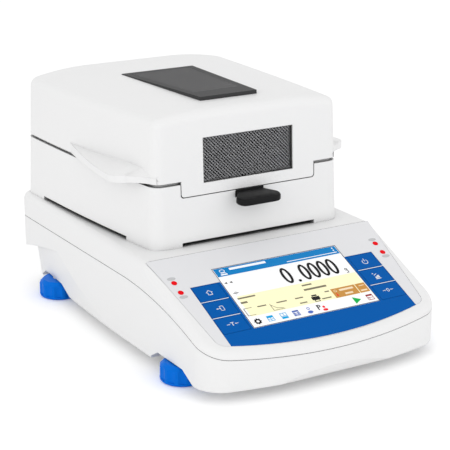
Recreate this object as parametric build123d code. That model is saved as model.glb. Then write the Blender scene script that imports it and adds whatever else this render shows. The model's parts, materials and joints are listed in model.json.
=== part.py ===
from build123d import *
import math
import os

# Moisture analyzer: a weighing base with a sloped touch panel carries a drying
# chamber with a hinged heater lid. Millimetres, +Z up, the front faces -Y, and
# the origin is the middle of the footprint on the surface it stands on.

# Walls and clearances
wall = 3.0
seat_gap = 0.2
run_gap = 0.6
fit_gap = 0.3
pin_gap = 0.05

# Base casing
base_width = 206.0
base_depth = 333.0
front_y = -base_depth / 2
rear_y = base_depth / 2
deck_z = 79.5
skirt_z = 8.2
front_bow = 14.0
rear_corner_r = 14.0
front_corner_r = 22.0
panel_tilt = 23.55
slope_start_y = front_y + 106.0
nose_z = 15.5
groove = 0.5
nose_inset = 3.0
deck_round = 6.0
parting_z = 59.5
parting_bend_y = front_y + 71.5
parting_bend_r = 340.0
screw_r = 1.5
screw_head_r = 3.2
screw_head_depth = 4.0
screw_post_r = 5.0
skirt_rear_inset = 10.0
skirt_mid_inset = 2.6
crease_z = 47.5
crease_end_z = 41.0
skirt_lean = 7.0

# Feet
foot_x = 93.0
front_foot_y = front_y + 65.2
rear_foot_y = rear_y - 56.7
foot_r = 17.0
foot_height = 14.8
foot_bevel = 3.2
foot_scallops = 12
scallop_r = 9.0
scallop_depth = 0.9
stud_r = 3.0
stud_length = 24.0
stop_gap = 0.1
boss_r = 5.5
boss_height = 26.0
pocket_height = 7.4
pocket_lead = 12.0

# Front panel, measured down the slope from the top edge of the screen
screen_top_y = front_y + 87.43
screen_half = 55.7
screen_length = 66.3
panel_half = 100.4
panel_top_s = -20.0
panel_corner_s = 76.0
panel_corner_x = 90.0
panel_tip_s = 88.8
panel_corner_r = 9.0
panel_thickness = 1.5
overlay_half = 81.2
overlay_top_s = 14.6
display_ledge = 2.0
overlay_corner_s = 78.2
overlay_tip_s = 88.0
key_inner_x = 57.6
key_pitch = 17.6
key_height = 16.1
key_gap = 0.35
key_thickness = 2.4
key_travel = 0.5
key_stem = 1.0
dome_height = 0.8
module_thickness = 5.0
board_thickness = 1.6
lens_x = 90.5
lens_s = (6.7, 17.4)
lens_r = 2.2

# Drying chamber and lid share one drafted column
draft = 2.2
column_rear_y = rear_y - 1.5
column_front_y = slope_start_y + 16.5
column_length = column_rear_y - column_front_y
column_rear_half = 97.5
column_mid_half = 93.8
column_mid_y = (column_front_y + column_rear_y) / 2 - 5.5
column_front_half = 84.0
column_rear_r = 14.0
column_front_r = 11.0
pad_height = 3.0
pad_length = 38.0
chamber_rim_z = 128.0
chamber_floor = 2.5
lid_bottom_z = 130.4
lid_rear_z = 183.4
lid_front_z = 182.6
lid_flat_half = 38.0
lid_crown_r = 235.0
lid_shoulder_z = 170.0
lid_shoulder_r = 7.0
wing_thickness = 5.2
wing_scoop = 6.0
heel_r = 4.2
tab_half = 59.7
tab_bottom_z = 118.0
tab_gap = 0.7
tab_corner_r = 2.5
window_half = 40.3
window_low_z = 126.8
window_high_z = 161.8
handle_half = 19.0
handle_neck_half = 12.0
handle_neck_z = 112.0
handle_low_z = 109.2
handle_reach = 18.5
handle_thickness = 4.7
tongue_y = 8.4
tongue_thickness = 3.6
tongue_rise = 5.0

# Chamber interior
liner_inset = 11.5
liner_floor_z = 96.0
liner_wall = 1.0
pan_y = (column_front_y + column_rear_y) / 2 - 8.5
pan_r = 45.0
pan_depth = 6.0
pan_wall = 0.6
pan_z = 109.0
ring_r = 60.0
ring_height = 14.0
shaft_r = 4.0
shaft_hole_r = 7.0

# Lid interior
lid_liner_inset = 8.0
lid_ceiling_z = 166.0
lamp_r = 5.5
lamp_z = 154.0
lamp_spacing = 0.3 * column_length
lamp_length = 112.0
pane_z = 138.0
pane_thickness = 3.0
pane_half_x = 66.0
pane_half_y = column_length / 2 - 30.5

# Hinge
hinge_y = column_rear_y - 5
hinge_z = 132.0
hinge_pin_r = 2.0
hinge_eye_r = 4.2
hinge_x = 62.0
hinge_width = 22.0
eye_width = 6.0
leaf_low_z = 108.0
leaf_high_z = 154.0

# Vent plate on the lid
vent_rear_y = column_rear_y - 61.0
vent_front_y = column_front_y + 32.0
vent_rear_half = 33.6
vent_front_half = 25.4
vent_rear_rise = 0.6
vent_front_rise = 3.0
vent_border = 6.0
vent_front_band = 20.0
vent_slots = 28
vent_slot_width = 1.5

# Rear panel with its connectors
rear_panel_half = 78.0
rear_panel_low = 40.0
rear_panel_high = 74.0
rear_plate = 2.0
inlet_x = 55.0
switch_x = 24.0
connector_z = 55.0
rocker_pivot = 3.0
rocker_pin_r = 1.2
rocker_tilt = 8.0


def box(x0, x1, y0, y1, z0, z1):
    """A plain block between two corners."""
    return Pos((x0 + x1) / 2, (y0 + y1) / 2, (z0 + z1) / 2) * Box(x1 - x0, y1 - y0, z1 - z0)


def rod(radius, x, y, z0, z1):
    """An upright cylinder between two heights."""
    return Pos(x, y, (z0 + z1) / 2) * Cylinder(radius, z1 - z0)


def cross_rod(radius, y, z, x0, x1):
    """A cylinder lying along X."""
    return Pos((x0 + x1) / 2, y, z) * Rot(0, 90, 0) * Cylinder(radius, x1 - x0)


def side_prism(points, half_width):
    """An outline in the YZ plane, extruded to both sides."""
    face = make_face(Polyline(*[(y, z) for y, z in points], close=True))
    return extrude(Plane.YZ * face, half_width, both=True)


def panel_plane(depth=0.0):
    """The slope's plane, local x along X and local y up the slope."""
    tilt = math.radians(panel_tilt)
    normal = (0, -math.sin(tilt), math.cos(tilt))
    z = deck_z + (screen_top_y - slope_start_y) * math.tan(tilt)
    origin = (0, screen_top_y - depth * normal[1], z - depth * normal[2])
    return Plane(origin=origin, x_dir=(1, 0, 0), z_dir=normal)


def on_panel(sketch, depth, thickness):
    """Extrude a panel sketch downwards from a depth under the slope."""
    return extrude(panel_plane(depth) * sketch, -thickness)


def slope_rect(x0, x1, s0, s1):
    """A rectangle on the panel, s measured down the slope."""
    return Pos((x0 + x1) / 2, -(s0 + s1) / 2) * Rectangle(x1 - x0, s1 - s0)


def arc_outline(half_top, top_s, half_low, low_s, tip_s):
    """A panel outline with straight sides and a bowed front edge."""
    left = Line((-half_low, -low_s), (-half_top, -top_s))
    top = Line((-half_top, -top_s), (half_top, -top_s))
    right = Line((half_top, -top_s), (half_low, -low_s))
    front = ThreePointArc((half_low, -low_s), (0, -tip_s), (-half_low, -low_s))
    return make_face([left, top, right, front])


def base_plan(inset):
    """Plan outline of the base with its bowed front edge."""
    half = base_width / 2 - inset
    rear = base_depth / 2 - inset
    tip = -base_depth / 2 + inset
    corner = tip + front_bow
    edges = [
        Line((-half, corner), (-half, rear)),
        Line((-half, rear), (half, rear)),
        Line((half, rear), (half, corner)),
        ThreePointArc((half, corner), (0, tip), (-half, corner)),
    ]
    face = make_face(edges)
    rear_corners = face.vertices().filter_by(lambda v: v.Y > 0)
    face = fillet(rear_corners, rear_corner_r - inset)
    front_corners = face.vertices().filter_by(lambda v: abs(v.Y - corner) < 0.01)
    return fillet(front_corners, front_corner_r - inset)


def slope_line(y):
    """Height of the panel slope at a given y."""
    return deck_z + (y - slope_start_y) * math.tan(math.radians(panel_tilt))


def base_form(inset):
    """The base's outer volume, or its hollow when inset."""
    tip = -base_depth / 2 + inset
    rear = base_depth / 2 + 1
    drop = inset / math.cos(math.radians(panel_tilt))
    outline = [
        (rear, skirt_z + inset),
        (rear, deck_z - inset),
        (slope_start_y, deck_z - inset),
        (tip - 1, slope_line(tip - 1) - drop),
        (tip - 1, nose_z + inset * 0.4),
        (tip, nose_z + inset * 0.4),
        (tip + nose_inset, skirt_z + inset),
    ]
    prism = extrude(Pos(0, 0, skirt_z) * base_plan(inset), deck_z - skirt_z)
    return prism & side_prism(outline, base_width)


def parting_face(lift):
    """Outline under the parting line, flat at the rear and sloped at the front."""
    tilt = math.tan(math.radians(panel_tilt))
    far = base_depth
    low = parting_z + lift - (far + parting_bend_y) * tilt
    top = FilletPolyline(
        (far, parting_z + lift),
        (parting_bend_y, parting_z + lift),
        (-far, low),
        radius=parting_bend_r,
    )
    edges = [
        top,
        Line((-far, low), (-far, low - far)),
        Line((-far, low - far), (far, low - far)),
        Line((far, low - far), (far, parting_z + lift)),
    ]
    return make_face(edges)


def below_parting(lift=0.0):
    """Everything under the parting line."""
    return extrude(Plane.YZ * parting_face(lift), base_width, both=True)


def skirt_undercut(inset):
    """What the inset skirt leaves away under its arched crease."""
    rear = base_depth / 2 - skirt_rear_inset - inset
    half = base_width / 2 - inset
    rear_half = half - skirt_rear_inset
    mid_half = half - skirt_mid_inset
    far = base_depth
    edges = [
        Line((-half, -far), (-half, front_foot_y)),
        ThreePointArc((-half, front_foot_y), (-mid_half, 60), (-rear_half, rear)),
        Line((-rear_half, rear), (rear_half, rear)),
        ThreePointArc((rear_half, rear), (mid_half, 60), (half, front_foot_y)),
        Line((half, front_foot_y), (half, -far)),
        Line((half, -far), (-half, -far)),
    ]
    face = make_face(edges)
    corners = face.vertices().filter_by(lambda v: v.Y > rear - 1)
    plan = fillet(corners, rear_corner_r + 4 - inset)
    keep = extrude(Pos(0, 0, skirt_z) * plan, deck_z - skirt_z, taper=-skirt_lean)
    keep += extrude(plan, skirt_z + 1)
    rear_end = rear_y + 3.5 + inset
    front_end = front_y + 90
    arch = [
        ThreePointArc((rear_end, 29 + inset), (rear_y - 105, crease_z + inset), (front_end, crease_end_z + inset)),
        Line((front_end, crease_end_z + inset), (front_end, 0)),
        Line((front_end, 0), (rear_end, 0)),
        Line((rear_end, 0), (rear_end, 29 + inset)),
    ]
    below = extrude(Plane.YZ * make_face(arch), base_width, both=True)
    return below - keep


def foot_places():
    """The four foot centres with their short names."""
    return {
        "fl": (-foot_x, front_foot_y),
        "fr": (foot_x, front_foot_y),
        "rl": (-foot_x, rear_foot_y),
        "rr": (foot_x, rear_foot_y),
    }


def foot_pocket(x, y, grow):
    """Notch in the skirt over one foot, with a long curved lead at its front."""
    top = skirt_z + pocket_height + grow
    low = skirt_z - 1
    reach = foot_r + 1.2 + grow
    front = y - foot_r - grow
    rear = y + reach + pocket_lead
    edges = [
        Line((rear, low), (rear, skirt_z + 1.4)),
        Line((rear, skirt_z + 1.4), (y + reach + 2, top)),
        Line((y + reach + 2, top), (front, top)),
        ThreePointArc((front, top), (front - 7, top - 3.4), (front - 5 - pocket_lead, low)),
        Line((front - 5 - pocket_lead, low), (rear, low)),
    ]
    side = math.copysign(1, x)
    notch = extrude(Plane.YZ * make_face(edges), base_width, both=True)
    inner = foot_x - foot_r - 2 - grow
    return notch & box(*sorted((side * inner, side * base_width)), -base_depth, base_depth, 0, deck_z)


def rear_opening():
    """The opening in the rear wall that shows the connector plate."""
    y = base_depth / 2
    half = rear_panel_half
    return box(-half, half, y - wall - 1, y + 1, rear_panel_low, rear_panel_high)


def make_lower_casing():
    """Lower casing: arched skirt, floor, foot pockets and threaded bosses."""
    outer = base_form(0) & below_parting(-groove)
    outer += base_form(groove) & below_parting()
    outer -= skirt_undercut(0)
    hollow = base_form(wall) - skirt_undercut(wall)
    shell = outer - hollow
    for x, y in foot_places().values():
        roof = skirt_z + pocket_height
        shell += foot_pocket(x, y, wall) & outer
        shell += rod(boss_r, x, y, roof, roof + boss_height) & outer
        shell -= foot_pocket(x, y, 0)
        shell += rod(boss_r, x, y, foot_height + stop_gap, roof)
        shell -= rod(stud_r + pin_gap, x, y, 0, roof + boss_height - wall)
    for x, y in casing_screw_places():
        shell += rod(screw_post_r, x, y, skirt_z + 1, parting_z - 6)
        shell -= rod(screw_head_r + seat_gap, x, y, 0, skirt_z + screw_head_depth)
        shell -= rod(screw_r, x, y, skirt_z, parting_z)
    shell -= rear_opening()
    for x in (-40, 0, 40):
        for k in range(6):
            y = slope_start_y + 10.5 + 6 * k
            shell -= box(x - 14, x + 14, y, y + 3, 0, skirt_z + wall + 1)
    return shell


def casing_screw_places():
    """Screw posts inside the casing."""
    far = rear_y - 96.5
    near = slope_start_y + 20.5
    return [(-84, far), (84, far), (-84, near), (84, near)]


def make_upper_casing():
    """Upper casing: deck, sloped front and the recess for the panel."""
    outer = base_form(0) - below_parting()
    outer = fillet(deck_edges(outer), deck_round)
    shell = outer - base_form(wall)
    recess = panel_outline(seat_gap)
    shell -= on_panel(recess, -5, 5 + panel_thickness)
    shell -= on_panel(screen_sketch(-display_ledge), 0, 20)
    for x, y in casing_screw_places():
        shell += rod(screw_post_r - 1, x, y, parting_z - 6, deck_z - wall)
        shell -= rod(screw_r, x, y, parting_z - 7, deck_z - wall - 4)
    for side in (-1, 1):
        for row in range(3):
            shell -= on_panel(key_sketch(side, row, key_gap), 0, 20)
        for x, s in key_post_places(side):
            shell += on_panel(Pos(x, -s) * Circle(1.0), panel_thickness, key_board_depth() - panel_thickness)
    for x in (-lens_x, lens_x):
        for s in lens_s:
            shell -= on_panel(Pos(x, -s) * Circle(lens_r + 1), 0, 12)
    shell -= rod(shaft_hole_r, 0, pan_y, deck_z - 10, deck_z + 1)
    shell -= rear_opening()
    return shell


def key_board_depth():
    """How deep under the slope the key boards lie."""
    return key_thickness + key_stem + key_travel + dome_height


def key_post_places(side):
    """Posts between the keys that carry their board."""
    middle = (key_inner_x + overlay_half) / 2
    places = []
    for row in (1, 2):
        s = overlay_top_s + row * key_pitch - (key_pitch - key_height) / 2 + 0.3
        places += [(side * (middle - 8), s), (side * (middle + 7), s)]
    return places


def deck_edges(solid):
    """The top edges round the deck and down the slope's sides."""
    found = []
    for edge in solid.edges():
        middle = edge.center()
        on_side = abs(abs(middle.X) - base_width / 2) < 0.1
        high = abs(middle.Z - deck_z) < 0.1
        rear = abs(middle.Y - base_depth / 2) < 0.1
        slope = on_side and abs(middle.Z - slope_line(middle.Y)) < 0.1
        if (high and (on_side or rear)) or slope:
            found.append(edge)
    return found


def panel_outline(gap):
    """Outline of the grey insert with its rounded front corners."""
    face = arc_outline(panel_half + gap, panel_top_s - gap, panel_corner_x + gap, panel_corner_s, panel_tip_s + gap)
    corners = face.vertices().filter_by(lambda v: abs(v.Y + panel_corner_s) < 0.1)
    return fillet(corners, panel_corner_r)


def make_panel_frame():
    """Light grey insert round the screen and the keys."""
    outline = panel_outline(0)
    plate = on_panel(outline, 0, panel_thickness)
    plate -= on_panel(overlay_sketch(seat_gap), -1, 10)
    plate -= on_panel(screen_sketch(seat_gap), -1, 10)
    for x in (-lens_x, lens_x):
        for s in lens_s:
            plate -= on_panel(Pos(x, -s) * Circle(lens_r), -1, 10)
    return plate


def screen_sketch(gap):
    """Outline of the display glass."""
    return slope_rect(-screen_half - gap, screen_half + gap, -gap, screen_length + gap)


def overlay_sketch(gap):
    """Blue field: both key columns joined under the screen."""
    outline = arc_outline(overlay_half + gap, overlay_top_s - gap, overlay_half + gap, overlay_corner_s, overlay_tip_s + gap)
    return outline


def key_sketch(side, row, gap):
    """One key of the left (-1) or right (+1) column."""
    s0 = overlay_top_s + row * key_pitch
    x0, x1 = sorted((side * (key_inner_x + 0.6), side * (overlay_half - 0.6)))
    return slope_rect(x0 - gap, x1 + gap, s0 + 0.6 - gap, s0 + key_height + gap)


def make_keypad_overlay():
    """Blue front field that frames the keys and the glass."""
    plate = on_panel(overlay_sketch(0), 0, panel_thickness)
    plate -= on_panel(screen_sketch(seat_gap), -1, 10)
    for side in (-1, 1):
        for row in range(3):
            plate -= on_panel(key_sketch(side, row, key_gap), -1, 10)
    return plate


def make_key(side, row):
    """A key cap with the stem that presses its dome."""
    cap = on_panel(key_sketch(side, row, 0), 0, key_thickness)
    stem = on_panel(Pos(*key_centre(side, row)) * Circle(3), key_thickness, key_stem)
    return cap + stem


def key_centre(side, row):
    """Middle of a key in panel coordinates."""
    middle = (key_inner_x + overlay_half) / 2
    return side * middle, -(overlay_top_s + row * key_pitch + key_height / 2)


def make_keypad_board():
    """Two narrow circuit boards under the key columns with dome switches."""
    depth = key_board_depth()
    boards = None
    for side in (-1, 1):
        x0, x1 = sorted((side * (key_inner_x + 1), side * (overlay_half - 4)))
        piece = on_panel(slope_rect(x0, x1, overlay_top_s + 2, 68), depth, board_thickness)
        for row in range(3):
            dome = on_panel(Pos(*key_centre(side, row)) * Circle(4), depth - dome_height + 0.2, dome_height - 0.2)
            piece += dome
        boards = piece if boards is None else boards + piece
    return boards


def make_display_glass():
    """Touch glass, flush with the overlay."""
    return on_panel(screen_sketch(0), 0, panel_thickness)


def make_display_module():
    """Display panel with its metal frame behind the glass."""
    return on_panel(screen_sketch(-display_ledge - fit_gap), panel_thickness, module_thickness)


def make_proximity_lenses():
    """Four small windows of the touch-free sensors."""
    lenses = None
    for x in (-lens_x, lens_x):
        for s in lens_s:
            lens = on_panel(Pos(x, -s) * Circle(lens_r), -0.2, 4)
            lenses = lens if lenses is None else lenses + lens
    return lenses


def column_plan(inset):
    """Plan outline shared by chamber and lid, wider at the rear."""
    rear = column_rear_y - inset
    front = column_front_y + inset
    rear_half = column_rear_half - inset
    mid_half = column_mid_half - inset
    front_half = column_front_half - inset
    edges = [
        Line((-front_half, front), (front_half, front)),
        ThreePointArc((front_half, front), (mid_half, column_mid_y), (rear_half, rear)),
        Line((rear_half, rear), (-rear_half, rear)),
        ThreePointArc((-rear_half, rear), (-mid_half, column_mid_y), (-front_half, front)),
    ]
    face = make_face(edges)
    rear_corners = face.vertices().filter_by(lambda v: v.Y > 0)
    face = fillet(rear_corners, max(column_rear_r - inset, 2.0))
    front_corners = face.vertices().filter_by(lambda v: abs(v.Y - front) < 0.01)
    return fillet(front_corners, max(column_front_r - inset, 2.0))


def column(inset):
    """The drafted column from the deck up past the lid."""
    return extrude(Pos(0, 0, deck_z) * column_plan(inset), 125, taper=draft)


def slab(z0, z1):
    """Everything between two heights."""
    return box(-200, 200, -200, 250, z0, z1)


def tab_cut(gap):
    """The front region that belongs to the lid's tab."""
    half = tab_half + gap
    low = tab_bottom_z - gap
    face = Pos(0, (low + 140) / 2) * Rectangle(2 * half, 140 - low)
    face = fillet(face.vertices().group_by(Axis.Y)[0], tab_corner_r)
    return extrude(Plane.XZ * face, 200) & box(-200, 200, -200, 0, 0, 200)


def make_chamber_casing():
    """White lower housing of the drying chamber, standing on corner pads."""
    outer = column(0) & slab(deck_z, chamber_rim_z)
    hollow = column(wall) & slab(deck_z + pad_height + chamber_floor, 200)
    shell = outer - hollow
    rear = column_rear_y
    front = column_front_y
    shell -= box(-200, 200, front + pad_length, rear - pad_length, deck_z, deck_z + pad_height)
    shell -= box(-60, 60, -200, pan_y, deck_z, deck_z + pad_height)
    shell -= box(-75, 75, pan_y, 250, deck_z, deck_z + pad_height)
    shell -= box(-70, 70, front + 12, rear - 12, deck_z - 1, deck_z + pad_height)
    shell += rod(shaft_hole_r + 3, 0, pan_y, deck_z, deck_z + pad_height + chamber_floor)
    shell -= rod(shaft_hole_r, 0, pan_y, deck_z - 1, deck_z + 20)
    lip = (column(wall) - column(wall + 1.6)) & slab(chamber_rim_z - 6, chamber_rim_z + 2)
    shell += lip
    shell -= cross_rod(heel_r, hinge_y, hinge_z, -base_width, base_width)
    shell -= tab_cut(tab_gap)
    shell -= handle_room(run_gap)
    shell -= hinge_notch(run_gap)
    shell -= bracket_leaves(fit_gap)
    return shell


def hinge_notch(gap):
    """Room for the hinge barrels in both rear walls."""
    cut = None
    for x in (-hinge_x, hinge_x):
        half = hinge_width / 2 + gap
        piece = cross_rod(hinge_eye_r + gap, hinge_y, hinge_z, x - half, x + half)
        piece += box(x - half, x + half, hinge_y, hinge_y + 10, hinge_z - hinge_eye_r - gap, hinge_z + hinge_eye_r + gap)
        cut = piece if cut is None else cut + piece
    return cut


def make_chamber_liner():
    """Bright sheet metal trough of the drying chamber."""
    outer = column(liner_inset) & slab(liner_floor_z, chamber_rim_z - 1)
    inner = column(liner_inset + liner_wall) & slab(liner_floor_z + liner_wall, 200)
    liner = outer - inner
    flange = (column(wall) - column(liner_inset)) & slab(chamber_rim_z - 8, chamber_rim_z - 7)
    flange -= tab_cut(tab_gap + 1)
    flange -= bracket_leaves(fit_gap)
    liner += flange
    liner -= rod(shaft_hole_r, 0, pan_y, deck_z, pan_z)
    return liner


def make_insulation():
    """Mineral board between the casing and the liner."""
    low = deck_z + pad_height + chamber_floor
    outer = column(wall + 0.2) & slab(low, chamber_rim_z - 8)
    inner = column(liner_inset) & slab(liner_floor_z, 200)
    block = outer - inner
    block -= rod(shaft_hole_r + 1, 0, pan_y, deck_z, pan_z)
    block -= tab_cut(tab_gap + 1)
    block -= handle_room(run_gap)
    block -= bracket_leaves(fit_gap)
    return block


def make_draft_ring():
    """Ring round the pan that stills the air, with legs."""
    low = liner_floor_z + liner_wall
    ring = rod(ring_r, 0, pan_y, low + 6, low + 6 + ring_height)
    ring -= rod(ring_r - 1.2, 0, pan_y, low, low + 40)
    ring -= box(-10, 10, pan_y - ring_r - 5, pan_y - ring_r + 10, handle_z() - 1, low + 40)
    for k in range(3):
        angle = math.radians(90 + 120 * k)
        x = (ring_r - 0.6) * math.cos(angle)
        y = pan_y + (ring_r - 0.6) * math.sin(angle)
        ring += rod(1.8, x, y, low, low + 8)
    return ring


def make_pan_shaft():
    """Upright that carries the pan cross from the weighing cell."""
    shaft = rod(shaft_r, 0, pan_y, 48, pan_z - 6)
    shaft += rod(shaft_r + 5, 0, pan_y, 48, 51)
    return shaft


def make_pan_support():
    """Three-armed carrier under the sample pan."""
    low = pan_z - 3
    hub = rod(8, 0, pan_y, pan_z - 8, low) - rod(shaft_r + pin_gap, 0, pan_y, 60, pan_z - 6)
    for k in range(3):
        arm = Pos(0, pan_y, 0) * Rot(0, 0, 30 + 120 * k) * box(0, pan_r - 6, -2.5, 2.5, pan_z - 5, low)
        tip = Pos(0, pan_y, 0) * Rot(0, 0, 30 + 120 * k) * rod(2.5, pan_r - 8, 0, low, pan_z)
        hub += arm + tip
    return hub


def make_sample_pan():
    """Thin aluminium pan with a rolled rim."""
    outer = rod(pan_r, 0, pan_y, pan_z, pan_z + pan_depth)
    outer -= rod(pan_r - pan_wall, 0, pan_y, pan_z + pan_wall, pan_z + pan_depth + 1)
    rim = rod(pan_r + 2, 0, pan_y, pan_z + pan_depth - 1, pan_z + pan_depth)
    rim -= rod(pan_r - pan_wall, 0, pan_y, pan_z, pan_z + pan_depth + 1)
    return outer + rim


def handle_z():
    """Underside of the pan carrier, which hangs under the pan's rim."""
    return pan_z + pan_depth - 1 - 1.2


def make_pan_handle():
    """Forked carrier that holds the pan by its rim, with a finger grip."""
    low = handle_z()
    ring = rod(pan_r + 6, 0, pan_y, low, low + 1.2) - rod(pan_r + fit_gap, 0, pan_y, low - 1, low + 3)
    front = pan_y - pan_r - 4
    grip = box(-7, 7, front - 22, front + 1, low, low + 1.2)
    tip = box(-9, 9, front - 25, front - 21, low, low + 12)
    return ring + grip + tip


def make_temperature_sensor():
    """Probe that stands beside the pan."""
    probe = rod(1.6, 52, pan_y + 50, liner_floor_z + liner_wall, 118)
    probe += rod(4, 52, pan_y + 50, liner_floor_z + liner_wall, liner_floor_z + liner_wall + 4)
    probe += Pos(52, pan_y + 50, 118) * Sphere(2.2)
    return probe


def make_bubble_level():
    """Round spirit level in the floor of the chamber."""
    y = pan_y - 60
    cup = rod(9, -58, y, liner_floor_z + liner_wall, liner_floor_z + 9)
    cup -= rod(7, -58, y, liner_floor_z + 4, liner_floor_z + 20)
    return cup


def lid_form(inset):
    """Outer volume of the lid under its crowned, slightly sloped top."""
    slope = math.degrees(math.atan2(lid_rear_z - lid_front_z, column_length))
    mid = lid_flat_half + 36
    end = lid_flat_half + 80
    edges = [
        Line((-lid_flat_half, 0), (lid_flat_half, 0)),
        ThreePointArc((lid_flat_half, 0), (mid, crown_drop(mid)), (end, crown_drop(end))),
        Line((end, crown_drop(end)), (end, -200)),
        Line((end, -200), (-end, -200)),
        Line((-end, -200), (-end, crown_drop(end))),
        ThreePointArc((-end, crown_drop(end)), (-mid, crown_drop(mid)), (-lid_flat_half, 0)),
    ]
    bar = extrude(Plane.XZ * make_face(edges), 400, both=True)
    return column(inset) & (Pos(0, column_front_y, lid_front_z - inset) * Rot(slope, 0, 0) * bar)


def crown_drop(x):
    """How far the lid's top has fallen at a distance from its middle."""
    return math.sqrt(lid_crown_r ** 2 - (x - lid_flat_half) ** 2) - lid_crown_r


def top_edges(solid):
    """Edges between the crowned top and the walls."""
    return [e for e in solid.edges() if e.center().Z > lid_shoulder_z and not crown_seam(e)]


def crown_seam(edge):
    """The two lines where the flat of the crown meets its arcs."""
    return abs(abs(edge.center().X) - lid_flat_half) < 1 and edge.length > column_length / 2


def make_lid_casing():
    """White hinged lid with window, front tab, side wings and vent opening."""
    full = lid_form(0)
    full = fillet(top_edges(full), lid_shoulder_r)
    keep = slab(lid_bottom_z, 250) + (tab_cut(0) & slab(0, lid_bottom_z + 1))
    outer = (full & keep) + make_wings()
    hollow = lid_form(wall) & slab(tab_bottom_z - 5, 250)
    shell = outer - hollow
    window = box(-window_half, window_half, column_front_y - 5, column_front_y + 15, window_low_z, window_high_z)
    shell -= window
    shell -= vent_prism(vent_border - 1, 160, 220)
    shell -= hinge_notch(run_gap)
    return shell


def make_wings():
    """Finger grips that flare out low on both sides of the lid."""
    front = column_front_y
    edges = [
        Spline((-90, front + 140), (-97, front + 104), (-103, front + 66), (-105.6, front + 36)),
        ThreePointArc((-105.6, front + 36), (-103.5, front + 26), (-95, front + 20.5)),
        Spline((-95, front + 20.5), (-88, front + 15), (-80, front + 3)),
        Line((-80, front + 3), (-70, front + 44)),
        Line((-70, front + 44), (-90, front + 140)),
    ]
    low = lid_bottom_z
    rim = low + wing_thickness
    peak = rim + wing_scoop
    wing = extrude(Pos(0, 0, low) * make_face(edges), wing_thickness + wing_scoop)
    scoop = [
        Line((-115, low - 1), (-115, rim)),
        Line((-115, rim), (-107, rim)),
        ThreePointArc((-107, rim), (-97, rim + 1.6), (-86, peak)),
        Line((-86, peak), (-60, peak)),
        Line((-60, peak), (-60, low - 1)),
        Line((-60, low - 1), (-115, low - 1)),
    ]
    wing &= extrude(Plane.XZ * make_face(scoop), base_depth, both=True)
    ramp = [(front - 10, low - 1), (front + 160, low - 1), (front + 160, peak), (front + 32, peak)]
    wing &= side_prism(ramp + [(front + 20, rim), (front - 10, rim)], base_width)
    return wing + mirror(wing, Plane.YZ)


def vent_prism(inset, z0, z1):
    """Trapezoid of the vent plate between two heights."""
    points = [
        (-vent_rear_half + inset, vent_rear_y - inset),
        (vent_rear_half - inset, vent_rear_y - inset),
        (vent_front_half - inset, vent_front_y + inset),
        (-vent_front_half + inset, vent_front_y + inset),
    ]
    face = make_face(Polyline(*points, close=True))
    return extrude(Pos(0, 0, z0) * face, z1 - z0)


def vent_slab(low, rear_high, front_high):
    """A layer over the lid's top line, with its own rise at the rear and the front."""
    rise = (lid_rear_z - lid_front_z) / column_length
    front = lid_front_z + (vent_front_y - column_front_y) * rise
    rear = lid_front_z + (vent_rear_y - column_front_y) * rise
    points = [
        (vent_front_y - 1, front + low),
        (vent_rear_y + 1, rear + low),
        (vent_rear_y + 1, rear + rear_high),
        (vent_front_y - 1, front + front_high),
    ]
    return side_prism(points, base_width / 2)


def make_vent_cover():
    """Dark louvred plate over the hot air outlet."""
    plate = (vent_prism(0, 150, 230) & vent_slab(-3, vent_rear_rise, vent_front_rise)) - lid_form(0)
    neck = vent_prism(vent_border - 1 + fit_gap, 150, 230) & vent_slab(-wall - 1, 0, 1)
    cover = plate + neck
    roof = 1.6
    pocket = vent_prism(vent_border + 2.5, 150, 230) & vent_slab(-wall - 3, vent_rear_rise - roof, vent_front_rise - roof)
    cover -= pocket
    first = vent_front_y + vent_front_band
    pitch = (vent_rear_y - vent_border - first) / vent_slots
    for k in range(vent_slots):
        y = first + (k + 0.5) * pitch
        cover -= box(-60, 60, y - vent_slot_width / 2, y + vent_slot_width / 2, 150, 230) & vent_prism(vent_border, 150, 230)
    return cover


def make_lid_liner():
    """Sheet metal inner lid that holds the heater."""
    outer = column(lid_liner_inset) & slab(lid_bottom_z + 0.6, lid_ceiling_z)
    inner = column(lid_liner_inset + liner_wall) & slab(0, lid_ceiling_z - liner_wall)
    liner = outer - inner
    liner -= box(-window_half, window_half, column_front_y, 0, 100, window_high_z - 1)
    flange = (column(wall) - column(lid_liner_inset)) & slab(lid_bottom_z + 8, lid_bottom_z + 9)
    reach = window_half + 3 + fit_gap
    flange -= box(-reach, reach, column_front_y, 0, window_low_z, window_high_z)
    liner += flange
    liner -= hinge_notch(run_gap + 0.5)
    liner -= lug_leaves(fit_gap)
    return liner


def make_reflector():
    """Folded reflector above the lamps."""
    top = lid_ceiling_z - liner_wall
    half = lamp_length / 2 - 9
    points = [
        (-half, top - 5),
        (-half + 10, top - 1),
        (half - 10, top - 1),
        (half, top - 5),
        (half, top - 4),
        (half - 10, top),
        (-half + 10, top),
        (-half, top - 4),
    ]
    face = make_face(Polyline(*points, close=True))
    return Pos(0, pan_y, 0) * extrude(Plane.XZ * face, pane_half_y - 19, both=True)


def lamp_places():
    """The y of both lamps."""
    return (pan_y - lamp_spacing / 2, pan_y + lamp_spacing / 2)


def make_lamp_tubes():
    """Two halogen tubes."""
    lamps = None
    for y in lamp_places():
        tube = cross_rod(lamp_r, y, lamp_z, -lamp_length / 2, lamp_length / 2)
        lamps = tube if lamps is None else lamps + tube
    return lamps


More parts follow.
